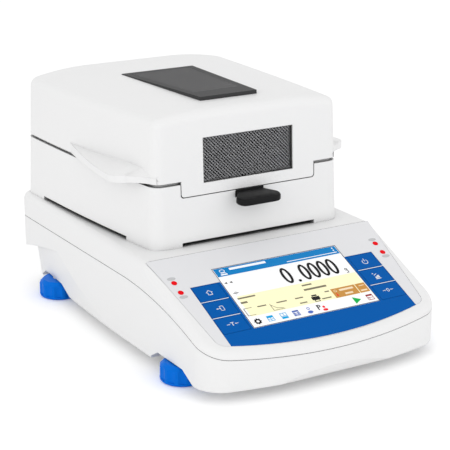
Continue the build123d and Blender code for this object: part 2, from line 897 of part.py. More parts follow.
def make_lamp_sockets():
    """Ceramic sockets at the ends of the lamps."""
    sockets = None
    for y in lamp_places():
        for side in (-1, 1):
            x0, x1 = sorted((side * (lamp_length / 2 - 7), side * (lamp_length / 2 + 12)))
            block = box(x0, x1, y - 9, y + 9, lamp_z - 8, lid_ceiling_z - liner_wall)
            block -= cross_rod(lamp_r + pin_gap, y, lamp_z, *sorted((side * (lamp_length / 2 - 9), side * lamp_length / 2)))
            sockets = block if sockets is None else sockets + block
    return sockets


def make_protective_glass():
    """Glass pane under the lamps."""
    pane = box(-pane_half_x, pane_half_x, pan_y - pane_half_y, pan_y + pane_half_y, pane_z, pane_z + pane_thickness)
    return pane


def make_glass_clips():
    """Four clips that hang the pane from the inner lid's ceiling."""
    clips = None
    for x in (-1, 1):
        for y in (-1, 1):
            cx = x * (pane_half_x + 1)
            cy = pan_y + y * (pane_half_y - 12)
            x0, x1 = sorted((cx, cx + x * 1.5))
            clip = box(x0, x1, cy - 5, cy + 5, pane_z - 1.5, lid_ceiling_z - liner_wall)
            u0, u1 = sorted((cx - x * 7, cx + x * 1.5))
            clip += box(u0, u1, cy - 5, cy + 5, pane_z - 1.5, pane_z - 0.0)
            clips = clip if clips is None else clips + clip
    return clips


def window_plane_cut(depth, thickness):
    """A layer parallel to the lid's drafted front wall."""
    return column(depth) - column(depth + thickness)


def make_window_glass():
    """Pane set in the window opening."""
    layer = window_plane_cut(1.2, 1.6)
    return layer & box(-window_half, window_half, -60, -20, window_low_z, window_high_z)


def make_window_mesh():
    """Perforated screen behind the pane."""
    layer = window_plane_cut(wall, 0.8)
    return layer & box(-window_half - 3, window_half + 3, -60, -20, window_low_z - 3, window_high_z + 3)


def handle_block(gap):
    """The handle's neck and the tongue that is screwed behind the tab."""
    half = handle_neck_half + gap
    rear = column_front_y + tongue_y
    neck = box(-half, half, column_front_y - 2, rear + gap, handle_neck_z - gap, tab_bottom_z - 1.5)
    neck += box(-half, half, column_front_y + 1.8, rear + gap, handle_neck_z - gap, tab_bottom_z)
    tongue = box(-half, half, rear - tongue_thickness, rear + gap, handle_neck_z - gap, tab_bottom_z + tongue_rise)
    return neck + (tongue & column(wall))


def handle_room(gap):
    """Room in the chamber front for the handle's neck."""
    return handle_block(gap)


def make_lid_handle():
    """Black finger grip under the tab, flared from a narrow neck."""
    half = handle_half
    root = column_front_y - 0.5
    tip = column_front_y - handle_reach
    points = [(-half + 3, root), (-half, root - 6), (-half, tip), (half, tip), (half, root - 6), (half - 3, root)]
    face = make_face(Polyline(*points, close=True))
    corners = face.vertices().filter_by(lambda v: abs(v.Y - tip) < 0.1)
    face = fillet(corners, 7)
    sides = face.vertices().filter_by(lambda v: abs(v.Y - root + 6) < 0.1)
    face = fillet(sides, 5)
    paddle = extrude(Pos(0, 0, handle_low_z) * face, handle_thickness)
    rims = [e for e in paddle.edges() if e.center().Y < root - 0.5 and abs(e.tangent_at(0.5).Z) < 0.1]
    paddle = fillet(rims, 1.4)
    return paddle + handle_block(0)


def bracket_leaves(gap):
    """Leaves of the chamber brackets, flush with the inside of the wall."""
    half = hinge_width / 2 + gap
    leaves = None
    for x in (-hinge_x, hinge_x):
        leaf = box(x - half, x + half, hinge_y - hinge_eye_r - gap, hinge_y + 5, leaf_low_z - gap, hinge_z)
        leaves = leaf if leaves is None else leaves + leaf
    return leaves & column(wall)


def lug_leaves(gap):
    """Leaves of the lid lugs, flush with the inside of the lid's wall."""
    half = hinge_width / 2 - eye_width - fit_gap + gap
    leaves = None
    for x in (-hinge_x, hinge_x):
        leaf = box(x - half, x + half, hinge_y - hinge_eye_r - gap, hinge_y + 5, hinge_z, leaf_high_z + gap)
        leaves = leaf if leaves is None else leaves + leaf
    return leaves & column(wall)


def make_hinge_brackets():
    """Chamber side of the hinge: a leaf with two eyes at each side."""
    brackets = bracket_leaves(0)
    for x in (-hinge_x, hinge_x):
        half = hinge_width / 2
        inner = half - eye_width
        brackets += cross_rod(hinge_eye_r, hinge_y, hinge_z, x - half, x + half)
        brackets -= box(x - inner, x + inner, 140, 180, hinge_z - hinge_eye_r - run_gap, hinge_z + 10)
        brackets -= cross_rod(hinge_pin_r, hinge_y, hinge_z, x - half - 1, x + half + 1)
    return brackets


def make_hinge_lugs():
    """Lid side of the hinge: one eye and a leaf at each side."""
    lugs = lug_leaves(0)
    for x in (-hinge_x, hinge_x):
        half = hinge_width / 2 - eye_width - fit_gap
        lugs += cross_rod(hinge_eye_r, hinge_y, hinge_z, x - half, x + half)
        lugs -= cross_rod(hinge_pin_r + pin_gap, hinge_y, hinge_z, x - half - 1, x + half + 1)
    return lugs


def make_hinge_pins():
    """Pins pressed into the chamber brackets."""
    pins = None
    for x in (-hinge_x, hinge_x):
        pin = cross_rod(hinge_pin_r, hinge_y, hinge_z, x - hinge_width / 2, x + hinge_width / 2)
        pins = pin if pins is None else pins + pin
    return pins


def make_foot_knob(x, y):
    """Levelling foot with shallow scallops and a bevelled top rim."""
    knob = rod(foot_r, x, y, 0, foot_height)
    ring = [e for e in knob.edges() if e.center().Z > foot_height - 0.1]
    knob = chamfer(ring, foot_bevel)
    base = [e for e in knob.edges() if e.center().Z < 0.1]
    knob = fillet(base, 2.0)
    for k in range(foot_scallops):
        angle = math.radians(360 / foot_scallops * k)
        reach = foot_r + scallop_r - scallop_depth
        knob -= rod(scallop_r, x + reach * math.cos(angle), y + reach * math.sin(angle), 2.5, foot_height + 1)
    knob -= rod(stud_r + pin_gap, x, y, 3, foot_height + 1)
    return knob


def make_foot_stud(x, y):
    """Stud that climbs in the casing's threaded boss."""
    return rod(stud_r, x, y, 3, 3 + stud_length)


def port_sizes():
    """Each data port: x, width and height."""
    return [(-62, 13.2, 6.0), (-42, 12.0, 11.0), (-20, 16.0, 13.5), (0.5, 18.5, 10.0)]


def plate_face_y():
    """Outer face of the connector plate, seated on the inside of the rear wall."""
    return base_depth / 2 - wall


def make_rear_panel():
    """Connector plate behind the opening in the rear wall."""
    y = plate_face_y()
    half = rear_panel_half + 3
    plate = box(-half, half, y - rear_plate, y, rear_panel_low - 3, rear_panel_high + 2)
    plate -= box(inlet_x - 13, inlet_x + 13, y - 10, y + 1, connector_z - 9, connector_z + 9)
    plate -= box(switch_x - 7, switch_x + 7, y - 10, y + 1, connector_z - 10, connector_z + 10)
    for x, width, height in port_sizes():
        plate -= box(x - width / 2, x + width / 2, y - 10, y + 1, connector_z - height / 2, connector_z + height / 2)
    return plate


def make_mains_inlet():
    """Appliance inlet with a flange, a deep recess and three blades."""
    y = plate_face_y()
    body = box(inlet_x - 13, inlet_x + 13, y - 24, y + 1.5, connector_z - 9, connector_z + 9)
    body += box(inlet_x - 15, inlet_x + 15, y, y + 1.5, connector_z - 11, connector_z + 11)
    body -= box(inlet_x - 12, inlet_x + 12, y - 16, y + 3, connector_z - 8, connector_z + 8)
    for dx, dz in ((-7, -2), (7, -2), (0, 2)):
        body += box(inlet_x + dx - 1, inlet_x + dx + 1, y - 18, y - 3, connector_z + dz - 2, connector_z + dz + 2)
    return body


def make_switch_frame():
    """Snap-in frame of the mains switch."""
    y = plate_face_y()
    frame = box(switch_x - 7, switch_x + 7, y - 14, y + 1.5, connector_z - 10, connector_z + 10)
    frame += box(switch_x - 8.5, switch_x + 8.5, y, y + 1.5, connector_z - 11.5, connector_z + 11.5)
    frame -= box(switch_x - 6, switch_x + 6, y - 11, y + 3, connector_z - 9, connector_z + 9)
    frame -= cross_rod(rocker_pin_r + pin_gap, y - rocker_pivot, connector_z, switch_x - 7, switch_x + 7)
    return frame


def make_switch_rocker():
    """Rocker of the mains switch, tipped to its on side at rest."""
    y = plate_face_y() - rocker_pivot
    points = [(-3, -5), (4.5, -8.2), (6.8, -8.0), (5.4, 0), (6.8, 8.0), (4.5, 8.2), (-3, 5)]
    face = make_face(Polyline(*points, close=True))
    width = 12 - 2 * fit_gap
    body = extrude(Plane.YZ * face, width / 2, both=True)
    body += cross_rod(rocker_pin_r, 0, 0, -6.9, 6.9)
    return Pos(switch_x, y, connector_z) * Rot(rocker_tilt, 0, 0) * body


def make_data_ports():
    """Metal shells of the data ports."""
    y = plate_face_y()
    ports = None
    for x, width, height in port_sizes():
        half = width / 2
        tall = height / 2
        shell = box(x - half, x + half, y - 15, y + 0.5, connector_z - tall, connector_z + tall)
        shell -= box(x - half + 0.8, x + half - 0.8, y - 12, y + 2, connector_z - tall + 0.8, connector_z + tall - 0.8)
        ports = shell if ports is None else ports + shell
    return ports


def make_main_board():
    """Processor board on the casing floor."""
    low = skirt_z + wall + 4
    front = slope_start_y - 67.5
    rear = slope_start_y - 1.5
    board = box(-62, 62, front, rear, low, low + board_thickness)
    board += box(-20, 4, front + 20, front + 44, low, low + 4)
    board += box(24, 40, front + 10, front + 32, low, low + 6)
    for x in (-56, 56):
        for y in (front + 6, rear - 6):
            board += rod(3, x, y, skirt_z + wall, low)
    return board


def make_power_supply():
    """Enclosed power supply near the mains inlet."""
    rear = plate_face_y() - rear_plate - 23.5
    return box(4, 60, rear - 44, rear, skirt_z + wall, skirt_z + wall + 26)


def make_load_cell_base():
    """Rigid plate that carries the weighing cell."""
    low = skirt_z + wall
    plate = box(-40, 40, pan_y - 52, pan_y + 36, low, low + 8)
    return plate


def make_load_cell():
    """Force compensation cell: fixed block, parallel links and moving hanger."""
    low = skirt_z + wall + 8
    cell = box(-25, 25, pan_y - 47, pan_y + 31, low, 44)
    cell -= box(-30, 30, pan_y - 32, pan_y + 18, low + 5, 39)
    cell += box(-12, 12, pan_y - 12, pan_y + 12, low + 20, 48)
    return cell


def make_casing_screws():
    """Screws through the floor into the upper casing."""
    screws = None
    for x, y in casing_screw_places():
        head = skirt_z + screw_head_depth
        screw = rod(screw_r, x, y, head, deck_z - wall - 6) + rod(screw_head_r, x, y, head - 2.5, head)
        screws = screw if screws is None else screws + screw
    return screws


parts = {
    "lower_casing": make_lower_casing(),
    "upper_casing": make_upper_casing(),
    "panel_frame": make_panel_frame(),
    "keypad_overlay": make_keypad_overlay(),
    "display_glass": make_display_glass(),
    "display_module": make_display_module(),
    "proximity_lenses": make_proximity_lenses(),
    "keypad_board": make_keypad_board(),
    "main_board": make_main_board(),
    "power_supply": make_power_supply(),
    "load_cell_base": make_load_cell_base(),
    "load_cell": make_load_cell(),
    "pan_shaft": make_pan_shaft(),
    "rear_panel": make_rear_panel(),
    "mains_inlet": make_mains_inlet(),
    "data_ports": make_data_ports(),
    "switch_frame": make_switch_frame(),
    "switch_rocker": make_switch_rocker(),
    "casing_screws": make_casing_screws(),
    "chamber_casing": make_chamber_casing(),
    "chamber_liner": make_chamber_liner(),
    "insulation": make_insulation(),
    "draft_ring": make_draft_ring(),
    "pan_support": make_pan_support(),
    "sample_pan": make_sample_pan(),
    "pan_handle": make_pan_handle(),
    "temperature_sensor": make_temperature_sensor(),
    "bubble_level": make_bubble_level(),
    "hinge_brackets": make_hinge_brackets(),
    "hinge_pins": make_hinge_pins(),
    "hinge_lugs": make_hinge_lugs(),
    "lid_casing": make_lid_casing(),
    "lid_liner": make_lid_liner(),
    "reflector": make_reflector(),
    "lamp_tubes": make_lamp_tubes(),
    "lamp_sockets": make_lamp_sockets(),
    "protective_glass": make_protective_glass(),
    "glass_clips": make_glass_clips(),
    "vent_cover": make_vent_cover(),
    "window_glass": make_window_glass(),
    "window_mesh": make_window_mesh(),
    "lid_handle": make_lid_handle(),
}

key_names = {
    (-1, 0): "key_home",
    (-1, 1): "key_enter",
    (-1, 2): "key_tare",
    (1, 0): "key_power",
    (1, 1): "key_lid",
    (1, 2): "key_zero",
}
for (side, row), name in key_names.items():
    parts[name] = make_key(side, row)

for place, (x, y) in foot_places().items():
    parts["foot_knob_" + place] = make_foot_knob(x, y)
    parts["foot_stud_" + place] = make_foot_stud(x, y)

os.makedirs("parts", exist_ok=True)
for name, shape in parts.items():
    export_step(shape, "parts/" + name + ".step")
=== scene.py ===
import bmesh
import bpy
import json
import math
from mathutils import Matrix, Vector


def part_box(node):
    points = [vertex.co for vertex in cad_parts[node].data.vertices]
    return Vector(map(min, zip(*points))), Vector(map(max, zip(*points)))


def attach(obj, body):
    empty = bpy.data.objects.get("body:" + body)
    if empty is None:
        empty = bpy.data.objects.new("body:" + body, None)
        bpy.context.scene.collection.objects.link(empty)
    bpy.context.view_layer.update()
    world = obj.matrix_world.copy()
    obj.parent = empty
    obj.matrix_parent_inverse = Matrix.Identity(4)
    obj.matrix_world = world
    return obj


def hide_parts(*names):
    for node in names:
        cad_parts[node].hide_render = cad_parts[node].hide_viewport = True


# Moisture analyzer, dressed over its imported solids. Metres, +Z up, the front faces -Y.

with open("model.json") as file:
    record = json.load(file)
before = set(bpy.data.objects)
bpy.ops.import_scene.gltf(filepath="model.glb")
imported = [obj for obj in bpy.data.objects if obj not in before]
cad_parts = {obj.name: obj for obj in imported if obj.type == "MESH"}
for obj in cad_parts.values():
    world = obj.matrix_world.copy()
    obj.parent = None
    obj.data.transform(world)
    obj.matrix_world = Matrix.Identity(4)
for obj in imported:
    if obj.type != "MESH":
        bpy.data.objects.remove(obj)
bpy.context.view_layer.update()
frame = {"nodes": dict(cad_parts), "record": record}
nodes = frame["nodes"]
mm = 0.001

# Panel slope: its tilt, the middle of the screen's top edge, and the screen's half width and length in mm.
PANEL_TILT = math.radians(23.55)
SCREEN_TOP = Vector((0.0, -79.07 * mm, 71.406 * mm))
SCREEN_HALF = 55.7
SCREEN_LENGTH = 66.3

# Prints: their thickness in mm and the glow of the lit screen.
PRINT_THICKNESS = 0.05
SCREEN_GLOW = 0.14

# Light: strength of the sky, how much the floor is lifted to white, and the point that the lamps face.
SKY_STRENGTH = 0.86
FLOOR_LIFT = 0.17
LAMP_AIM = (0, 0, 0.1)

# Depth of the finest bumps of every finish, in metres.
BUMP_DISTANCE = 0.00003


# Node helpers


def math_node(tree, operation):
    """Math node of one operation."""
    node = tree.nodes.new("ShaderNodeMath")
    node.operation = operation
    return node


def colour_mix(tree):
    """Mix node for two colours."""
    node = tree.nodes.new("ShaderNodeMix")
    node.data_type = "RGBA"
    return node


def background(tree, strength):
    """White background shader."""
    node = tree.nodes.new("ShaderNodeBackground")
    node.inputs["Color"].default_value = (1, 1, 1, 1)
    node.inputs["Strength"].default_value = strength
    return node


# Camera, light and floor


def place_camera():
    """Camera at the photograph's viewing angle."""
    lens = bpy.data.cameras.new("photo_camera")
    camera = bpy.data.objects.new("photo_camera", lens)
    bpy.context.scene.collection.objects.link(camera)
    camera.location = (-0.59712, -1.0035, 0.44354)
    camera.rotation_euler = (math.radians(90 - 17.49), 0, math.radians(-30.91))
    lens.sensor_width = 36
    lens.lens = 122.1
    bpy.context.scene.camera = camera


def place_lamp(name, location, size, power):
    """Soft square lamp that faces the instrument."""
    light = bpy.data.lights.new(name, "AREA")
    light.size = size
    light.energy = power
    lamp = bpy.data.objects.new(name, light)
    bpy.context.scene.collection.objects.link(lamp)
    lamp.location = location
    lamp.rotation_euler = (Vector(LAMP_AIM) - Vector(location)).to_track_quat("-Z", "Y").to_euler()


def white_sky():
    """Level light from all around, with plain white where the camera, glass or a gloss sees past the part."""
    world = bpy.data.worlds.new("white_room")
    bpy.context.scene.world = world
    world.use_nodes = True
    tree = world.node_tree
    tree.nodes.clear()
    path = tree.nodes.new("ShaderNodeLightPath")
    seen = math_node(tree, "MAXIMUM")
    tree.links.new(path.outputs["Is Camera Ray"], seen.inputs[0])
    tree.links.new(path.outputs["Is Transmission Ray"], seen.inputs[1])
    mirrored = math_node(tree, "MAXIMUM")
    tree.links.new(seen.outputs[0], mirrored.inputs[0])
    tree.links.new(path.outputs["Is Glossy Ray"], mirrored.inputs[1])
    sky = background(tree, SKY_STRENGTH)
    backdrop = background(tree, 1.0)
    mix = tree.nodes.new("ShaderNodeMixShader")
    out = tree.nodes.new("ShaderNodeOutputWorld")
    tree.links.new(mirrored.outputs[0], mix.inputs[0])
    tree.links.new(sky.outputs[0], mix.inputs[1])
    tree.links.new(backdrop.outputs[0], mix.inputs[2])
    tree.links.new(mix.outputs[0], out.inputs["Surface"])


def white_floor():
    """White floor that keeps the part's shadow."""
    bm = bmesh.new()
    bmesh.ops.create_grid(bm, x_segments=2, y_segments=2, size=4.0)
    floor = finish_mesh("floor", bm, smooth=False)
    floor.data.transform(Matrix.Translation((0, 0, -0.0002)))
    material, shader, tree = new_material("floor_white")
    shader.inputs["Base Color"].default_value = (1, 1, 1, 1)
    shader.inputs["Roughness"].default_value = 0.9
    shader.inputs["Specular IOR Level"].default_value = 0.0
    shader.inputs["Emission Strength"].default_value = 1.0
    lift = colour_mix(tree)
    lift.inputs["A"].default_value = (0, 0, 0, 1)
    lift.inputs["B"].default_value = (FLOOR_LIFT, FLOOR_LIFT, FLOOR_LIFT, 1)
    view = tree.nodes.new("ShaderNodeLightPath")
    tree.links.new(view.outputs["Is Camera Ray"], lift.inputs["Factor"])
    tree.links.new(lift.outputs["Result"], shader.inputs["Emission Color"])
    floor.data.materials.append(material)


# Materials


def new_material(name):
    """Node material, its shader and its node tree."""
    material = bpy.data.materials.new(name)
    material.use_nodes = True
    tree = material.node_tree
    shader = tree.nodes["Principled BSDF"]
    return material, shader, tree


def new_group(name, inputs, outputs):
    """Shader node group with named sockets: name, kind and value."""
    group = bpy.data.node_groups.new(name, "ShaderNodeTree")
    for label, kind, value in inputs:
        socket = group.interface.new_socket(name=label, in_out="INPUT", socket_type=kind)
        socket.default_value = value
    for label, kind in outputs:
        group.interface.new_socket(name=label, in_out="OUTPUT", socket_type=kind)
    start = group.nodes.new("NodeGroupInput")
    end = group.nodes.new("NodeGroupOutput")
    return group, start, end


def softened_bump(group, start, height):
    """Soften the edges and lay a bump over them; hands back both nodes."""
    edge = group.nodes.new("ShaderNodeBevel")
    edge.samples = 4
    bump = group.nodes.new("ShaderNodeBump")
    bump.inputs["Distance"].default_value = BUMP_DISTANCE
    group.links.new(start.outputs["Depth"], bump.inputs["Strength"])
    group.links.new(height, bump.inputs["Height"])
    group.links.new(edge.outputs["Normal"], bump.inputs["Normal"])
    return edge, bump


def moulded_grain_group():
    """Fine moulded grain: a normal and a roughness that wander a little."""
    group, start, end = new_group(
        "moulded_grain",
        [
            ("Grain Size", "NodeSocketFloat", 2600.0),
            ("Depth", "NodeSocketFloat", 0.25),
            ("Roughness", "NodeSocketFloat", 0.45),
            ("Spread", "NodeSocketFloat", 0.06),
            ("Edge Radius", "NodeSocketFloat", 0.0004),
        ],
        [("Normal", "NodeSocketVector"), ("Roughness", "NodeSocketFloat")],
    )
    place = group.nodes.new("ShaderNodeTexCoord")
    noise = group.nodes.new("ShaderNodeTexNoise")
    noise.inputs["Detail"].default_value = 2.0
    group.links.new(place.outputs["Object"], noise.inputs["Vector"])
    group.links.new(start.outputs["Grain Size"], noise.inputs["Scale"])
    edge, bump = softened_bump(group, start, noise.outputs["Fac"])
    group.links.new(start.outputs["Edge Radius"], edge.inputs["Radius"])
    cloud = group.nodes.new("ShaderNodeTexNoise")
    cloud.inputs["Scale"].default_value = 35.0
    cloud.inputs["Detail"].default_value = 3.0
    group.links.new(place.outputs["Object"], cloud.inputs["Vector"])
    centre = math_node(group, "SUBTRACT")
    centre.inputs[1].default_value = 0.5
    group.links.new(cloud.outputs["Fac"], centre.inputs[0])
    drift = math_node(group, "MULTIPLY_ADD")
    group.links.new(centre.outputs[0], drift.inputs[0])
    group.links.new(start.outputs["Spread"], drift.inputs[1])
    group.links.new(start.outputs["Roughness"], drift.inputs[2])
    group.links.new(bump.outputs["Normal"], end.inputs["Normal"])
    group.links.new(drift.outputs[0], end.inputs["Roughness"])
    return group


def brushed_group():
    """Brush lines along one axis: a mask and a normal."""
    group, start, end = new_group(
        "brushed_lines",
        [("Stretch", "NodeSocketVector", (20.0, 900.0, 900.0)), ("Depth", "NodeSocketFloat", 0.2)],
        [("Lines", "NodeSocketFloat"), ("Normal", "NodeSocketVector")],
    )
    place = group.nodes.new("ShaderNodeTexCoord")
    scale = group.nodes.new("ShaderNodeVectorMath")
    scale.operation = "MULTIPLY"
    group.links.new(place.outputs["Object"], scale.inputs[0])
    group.links.new(start.outputs["Stretch"], scale.inputs[1])
    noise = group.nodes.new("ShaderNodeTexNoise")
    noise.inputs["Scale"].default_value = 1.0
    noise.inputs["Detail"].default_value = 3.0
    group.links.new(scale.outputs[0], noise.inputs["Vector"])
    edge, bump = softened_bump(group, start, noise.outputs["Fac"])
    edge.inputs["Radius"].default_value = 0.0003
    group.links.new(noise.outputs["Fac"], end.inputs["Lines"])
    group.links.new(bump.outputs["Normal"], end.inputs["Normal"])
    return group


def tone_group():
    """A colour that drifts slightly over the surface, as handled pieces do."""
    group, start, end = new_group(
        "tone_drift",
        [
            ("Colour", "NodeSocketColor", (0.8, 0.8, 0.8, 1)),
            ("Second Colour", "NodeSocketColor", (0.7, 0.7, 0.7, 1)),
            ("Patch Size", "NodeSocketFloat", 14.0),
            ("Share", "NodeSocketFloat", 0.5),
        ],
        [("Colour", "NodeSocketColor")],
    )
    place = group.nodes.new("ShaderNodeTexCoord")
    noise = group.nodes.new("ShaderNodeTexNoise")
    noise.inputs["Detail"].default_value = 4.0
    group.links.new(place.outputs["Object"], noise.inputs["Vector"])
    group.links.new(start.outputs["Patch Size"], noise.inputs["Scale"])
    weight = math_node(group, "MULTIPLY")
    group.links.new(noise.outputs["Fac"], weight.inputs[0])
    group.links.new(start.outputs["Share"], weight.inputs[1])
    mix = colour_mix(group)
    group.links.new(weight.outputs[0], mix.inputs["Factor"])
    group.links.new(start.outputs["Colour"], mix.inputs["A"])
    group.links.new(start.outputs["Second Colour"], mix.inputs["B"])
    group.links.new(mix.outputs["Result"], end.inputs["Colour"])
    return group


def seam_group():
    """A mask of painted shade, strong in narrow seams, gaps and corners, where shade falls."""
    group, start, end = new_group(
        "seam_shade",
        [
            ("Reach", "NodeSocketFloat", 0.004),
            ("Strength", "NodeSocketFloat", 0.8),
            ("Open", "NodeSocketFloat", 0.5),
            ("Shut", "NodeSocketFloat", 0.15),
        ],
        [("Mask", "NodeSocketFloat")],
    )
    open_sky = group.nodes.new("ShaderNodeAmbientOcclusion")
    open_sky.samples = 6
    group.links.new(start.outputs["Reach"], open_sky.inputs["Distance"])
    spread = group.nodes.new("ShaderNodeMapRange")
    group.links.new(start.outputs["Open"], spread.inputs["From Min"])
    group.links.new(start.outputs["Shut"], spread.inputs["From Max"])
    group.links.new(open_sky.outputs["AO"], spread.inputs["Value"])
    weight = math_node(group, "MULTIPLY")
    group.links.new(spread.outputs["Result"], weight.inputs[0])
    group.links.new(start.outputs["Strength"], weight.inputs[1])
    group.links.new(weight.outputs[0], end.inputs["Mask"])
    return group


seam_shade = seam_group()
moulded_grain = moulded_grain_group()
brushed_lines = brushed_group()
tone_drift = tone_group()


def place_group(tree, group, **values):
    """A group node with its own values."""
    node = tree.nodes.new("ShaderNodeGroup")
    node.node_tree = group
    for label, value in values.items():
        node.inputs[label.replace("_", " ")].default_value = value
    return node


def tinted(tree, shader, colour, second, patch=14.0):
    """Feed the drifting tone into the shader's colour."""
    tone = place_group(tree, tone_drift, Colour=(*colour, 1), Second_Colour=(*second, 1), Patch_Size=patch)
    tree.links.new(tone.outputs["Colour"], shader.inputs["Base Color"])


def grained(tree, shader, **values):
    """Feed the moulded grain into the shader's normal and roughness."""
    grain = place_group(tree, moulded_grain, **values)
    tree.links.new(grain.outputs["Normal"], shader.inputs["Normal"])
    tree.links.new(grain.outputs["Roughness"], shader.inputs["Roughness"])


def moulded(name, colour, second, roughness, grain=2600.0, depth=0.25, edge=0.0004, sheen=0.3, coat=0.0):
    """Moulded plastic with fine grain and softened edges."""
    material, shader, tree = new_material(name)
    shader.inputs["Specular IOR Level"].default_value = sheen
    shader.inputs["Coat Weight"].default_value = coat
    tinted(tree, shader, colour, second)
    grained(tree, shader, Grain_Size=grain, Depth=depth, Roughness=roughness, Edge_Radius=edge)
    return material


def metal(name, colour, second, roughness, stretch):
    """Bare metal with brush or mill lines."""
    material, shader, tree = new_material(name)
    shader.inputs["Metallic"].default_value = 1.0
    lines = place_group(tree, brushed_lines, Stretch=stretch)
    mix = colour_mix(tree)
    mix.inputs["A"].default_value = (*colour, 1)
    mix.inputs["B"].default_value = (*second, 1)
    tree.links.new(lines.outputs["Lines"], mix.inputs["Factor"])
    tree.links.new(mix.outputs["Result"], shader.inputs["Base Color"])
    spread = tree.nodes.new("ShaderNodeMapRange")
    spread.inputs["To Min"].default_value = roughness - 0.06
    spread.inputs["To Max"].default_value = roughness + 0.08
    tree.links.new(lines.outputs["Lines"], spread.inputs["Value"])
    tree.links.new(spread.outputs["Result"], shader.inputs["Roughness"])
    tree.links.new(lines.outputs["Normal"], shader.inputs["Normal"])
    return material


def board_material():
    """Green circuit board with faint copper tracks under its lacquer."""
    material, shader, tree = new_material("board_green")
    place = tree.nodes.new("ShaderNodeTexCoord")
    tracks = tree.nodes.new("ShaderNodeTexBrick")
    tracks.inputs["Scale"].default_value = 220.0
    tracks.inputs["Mortar Size"].default_value = 0.06
    tracks.inputs["Color1"].default_value = (0.02, 0.20, 0.08, 1)
    tracks.inputs["Color2"].default_value = (0.025, 0.23, 0.10, 1)
    tracks.inputs["Mortar"].default_value = (0.07, 0.36, 0.14, 1)
    tree.links.new(place.outputs["Object"], tracks.inputs["Vector"])
    tree.links.new(tracks.outputs["Color"], shader.inputs["Base Color"])
    grained(tree, shader, Grain_Size=1500.0, Depth=0.1, Roughness=0.3)
    return material


def glass_material(name, colour, roughness, bending=1.45):
    """Clear glass with the faintest waviness."""
    material, shader, tree = new_material(name)
    shader.inputs["Base Color"].default_value = (*colour, 1)
    shader.inputs["Roughness"].default_value = roughness
    shader.inputs["Transmission Weight"].default_value = 1.0
    shader.inputs["IOR"].default_value = bending
    place = tree.nodes.new("ShaderNodeTexCoord")
    noise = tree.nodes.new("ShaderNodeTexNoise")
    noise.inputs["Scale"].default_value = 40.0
    tree.links.new(place.outputs["Object"], noise.inputs["Vector"])
    bump = tree.nodes.new("ShaderNodeBump")
    bump.inputs["Strength"].default_value = 0.05
    bump.inputs["Distance"].default_value = 0.0001
    tree.links.new(noise.outputs["Fac"], bump.inputs["Height"])
    tree.links.new(bump.outputs["Normal"], shader.inputs["Normal"])
    return material


def printed(name, colour, roughness=0.22, glow=0.0):
    """Printed field on glass or film, which glows where the screen is lit."""
    material, shader, tree = new_material(name)
    shader.inputs["Emission Color"].default_value = (*colour, 1)
    shader.inputs["Emission Strength"].default_value = glow
    shader.inputs["Specular IOR Level"].default_value = 0.1
    darker = tuple(0.93 * c for c in colour)
    tinted(tree, shader, colour, darker, patch=120.0)
    grained(tree, shader, Grain_Size=4000.0, Depth=0.05, Roughness=roughness, Edge_Radius=0.00003)
    return material


def shaded_seams(material, dark, reach, strength, opened, shut):
    """Paint shade into a finish where it runs into a seam or a corner."""
    tree = material.node_tree
    shader = tree.nodes["Principled BSDF"]
    plain = shader.inputs["Base Color"].links[0].from_socket
    mask = place_group(tree, seam_shade, Reach=reach, Strength=strength, Open=opened, Shut=shut)
    mix = colour_mix(tree)
    mix.inputs["B"].default_value = (*dark, 1)
    tree.links.new(mask.outputs["Mask"], mix.inputs["Factor"])
    tree.links.new(plain, mix.inputs["A"])
    tree.links.new(mix.outputs["Result"], shader.inputs["Base Color"])


def make_plastics():
    """Moulded and painted finishes by name: colour, drift of the colour, roughness and what else differs."""
    recipes = {
        "casing_white": ((0.87, 0.87, 0.87), (0.855, 0.855, 0.857), 0.42, {}),
        "panel_grey": ((0.8, 0.802, 0.82), (0.785, 0.787, 0.805), 0.4, {"depth": 0.15}),
        "overlay_blue": (
            (0.001, 0.112, 0.44),
            (0.0005, 0.098, 0.4),
            0.34,
            {"grain": 3800.0, "depth": 0.12, "edge": 0.0002, "sheen": 0.03},
        ),
        "lens_red": ((0.9, 0.002, 0.008), (0.8, 0.001, 0.006), 0.2, {"depth": 0.02, "sheen": 0.05}),
        "black_plastic": ((0.01, 0.01, 0.0105), (0.015, 0.015, 0.016), 0.38, {"sheen": 0.1}),
        "vent_grey": ((0.05, 0.05, 0.051), (0.06, 0.06, 0.061), 0.5, {"grain": 1800.0, "sheen": 0.08}),
        # The louvre blades' lighter grey is a painted highlight of their lit edges.
        "louvre_highlight_grey": ((0.36, 0.36, 0.365), (0.3, 0.3, 0.305), 0.45, {"grain": 1800.0, "sheen": 0.1}),
        "foot_blue": ((0.001, 0.17, 0.74), (0.0005, 0.135, 0.62), 0.3, {"depth": 0.08, "sheen": 0.05}),
        "insulation_board": ((0.8, 0.76, 0.68), (0.62, 0.58, 0.5), 0.85, {"grain": 900.0, "depth": 1.0}),
        "ceramic": ((0.88, 0.86, 0.81), (0.8, 0.77, 0.71), 0.55, {"grain": 1500.0, "depth": 0.5}),
        "supply_case": ((0.5, 0.51, 0.53), (0.44, 0.45, 0.47), 0.42, {"grain": 1400.0, "coat": 0.2}),
    }
    plastics = {}
    for name, (colour, second, roughness, others) in recipes.items():
        plastics[name] = moulded(name, colour, second, roughness, **others)
    white = plastics["casing_white"]
    # Painted shadow: a broad grey shade on the white casing beside walls and in corners, such as on the deck
    # next to the chamber.
    shaded_seams(white, (0.34, 0.34, 0.345), reach=0.014, strength=0.32, opened=0.85, shut=0.3)
    # Painted shade: near-black in narrow gaps and seams, such as the gap under the chamber.
    shaded_seams(white, (0.03, 0.03, 0.032), reach=0.009, strength=1.0, opened=0.5, shut=0.15)
    return plastics


